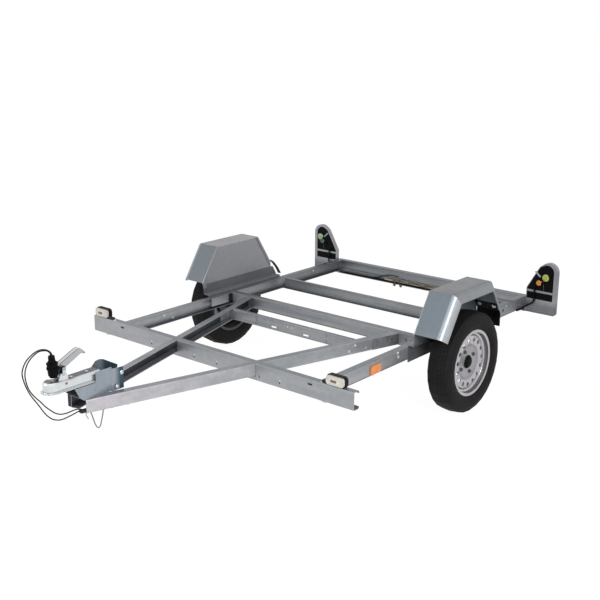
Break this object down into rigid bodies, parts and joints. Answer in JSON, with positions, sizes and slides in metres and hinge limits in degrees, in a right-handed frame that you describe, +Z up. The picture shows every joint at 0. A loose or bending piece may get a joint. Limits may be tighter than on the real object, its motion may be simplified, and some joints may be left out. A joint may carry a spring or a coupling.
{
  "type": "trailer_chassis",
  "caption": "Light single-axle car trailer chassis of galvanised channel with torsion suspension, mudguards, light towers, V drawbar, coupling, plug and leads.",
  "frame": {"origin": "Middle of the trailer's box without the free leads and plug, on the ground under the tyres.", "axes": "+Z up, -Y forward to the coupling, +X to the trailer's left side."},
  "size_m": [1.86, 3.1218, 0.6775],
  "materials": {
    "galvanised_steel": "hot-dip galvanised sheet steel, dull",
    "mudguard_steel": "galvanised sheet steel, satin",
    "shaded_steel": "dark steel plate, satin",
    "zinc_plated_steel": "zinc plated, bright",
    "wheel_paint": "silver wheel paint",
    "tyre_rubber": "black, matt",
    "black_rubber": "black, matt",
    "black_plastic": "black, satin",
    "red_lens": "red, clear gloss",
    "amber_lens": "amber, gloss",
    "cream_lens": "pale, gloss"
  },
  "bodies": {
    "chassis": {"front_beam": "galvanised_steel", "cross_member_front": "galvanised_steel", "cross_member_middle": "galvanised_steel", "cross_member_rear": "galvanised_steel", "cross_member_slotted": "galvanised_steel", "coupling_bracket": "galvanised_steel", "drawbar_left": "galvanised_steel", "drawbar_right": "galvanised_steel", "side_rail_left": "galvanised_steel", "side_rail_right": "galvanised_steel", "slotted_bracket_left": "galvanised_steel", "slotted_bracket_right": "galvanised_steel", "drawbar_bracket_left": "galvanised_steel", "drawbar_bracket_right": "galvanised_steel", "torsion_tube_left": "galvanised_steel", "torsion_tube_right": "galvanised_steel", "light_tower_left": "galvanised_steel", "light_tower_right": "galvanised_steel", "mudguard_left": "mudguard_steel", "mudguard_right": "mudguard_steel", "axle_plate_left": "shaded_steel", "axle_plate_right": "shaded_steel", "coupling_head": "zinc_plated_steel", "handle_pin": "zinc_plated_steel", "wire_loop": "zinc_plated_steel", "lead_left": "black_rubber", "lead_right": "black_rubber", "rear_harness": "black_rubber", "mud_flap_left": "black_rubber", "mud_flap_right": "black_rubber", "rubber_core_left": "black_rubber", "rubber_core_right": "black_rubber", "marker_lamp_base_left": "black_rubber", "marker_lamp_base_right": "black_rubber", "tower_cable_left": "black_rubber", "tower_cable_right": "black_rubber", "plug": "black_plastic", "plug_holder": "black_plastic", "rear_lamp_housing_left": "black_plastic", "rear_lamp_housing_right": "black_plastic", "rear_lamp_lens_left": "red_lens", "rear_lamp_lens_right": "red_lens", "side_reflector_left": "amber_lens", "side_reflector_right": "amber_lens", "marker_lens_left": "cream_lens", "marker_lens_right": "cream_lens"},
    "left_arm": {"suspension_arm_left": "zinc_plated_steel"},
    "left_wheel": {"rim_left": "wheel_paint", "tyre_left": "tyre_rubber", "hub_left": "zinc_plated_steel", "hub_cap_left": "black_plastic", "wheel_bearing_left": "zinc_plated_steel"},
    "right_arm": {"suspension_arm_right": "zinc_plated_steel"},
    "right_wheel": {"rim_right": "wheel_paint", "tyre_right": "tyre_rubber", "hub_right": "zinc_plated_steel", "hub_cap_right": "black_plastic", "wheel_bearing_right": "zinc_plated_steel"},
    "handle": {"coupling_handle": "zinc_plated_steel"},
    "latch": {"coupling_latch": "shaded_steel"}
  },
  "joints": [
    {"name": "left_suspension", "type": "hinge", "parent": "chassis", "child": "left_arm", "pos_m": [0.7735, 0.4072, 0.361], "axis": [1, 0, 0], "range_deg": [-5, 25], "stiffness_Nm_per_rad": 900, "springref_deg": -2.33},
    {"name": "left_wheel_spin", "type": "hinge", "parent": "left_arm", "child": "left_wheel", "pos_m": [0.862, 0.5202, 0.2735], "axis": [1, 0, 0], "continuous": true},
    {"name": "right_suspension", "type": "hinge", "parent": "chassis", "child": "right_arm", "pos_m": [-0.7735, 0.4072, 0.361], "axis": [1, 0, 0], "range_deg": [-5, 25], "stiffness_Nm_per_rad": 900, "springref_deg": -2.33},
    {"name": "right_wheel_spin", "type": "hinge", "parent": "right_arm", "child": "right_wheel", "pos_m": [-0.862, 0.5202, 0.2735], "axis": [1, 0, 0], "continuous": true},
    {"name": "handle_hinge", "type": "hinge", "parent": "chassis", "child": "handle", "pos_m": [0, -1.4078, 0.534], "axis": [1, 0, 0], "range_deg": [-25, 0]},
    {"name": "latch_hinge", "type": "hinge", "parent": "chassis", "child": "latch", "pos_m": [0, -1.4058, 0.488], "axis": [1, 0, 0], "range_deg": [-10, 0]}
  ],
  "couplings": [
    {"joint": "latch_hinge", "follows": "handle_hinge", "ratio": 0.4}
  ]
}
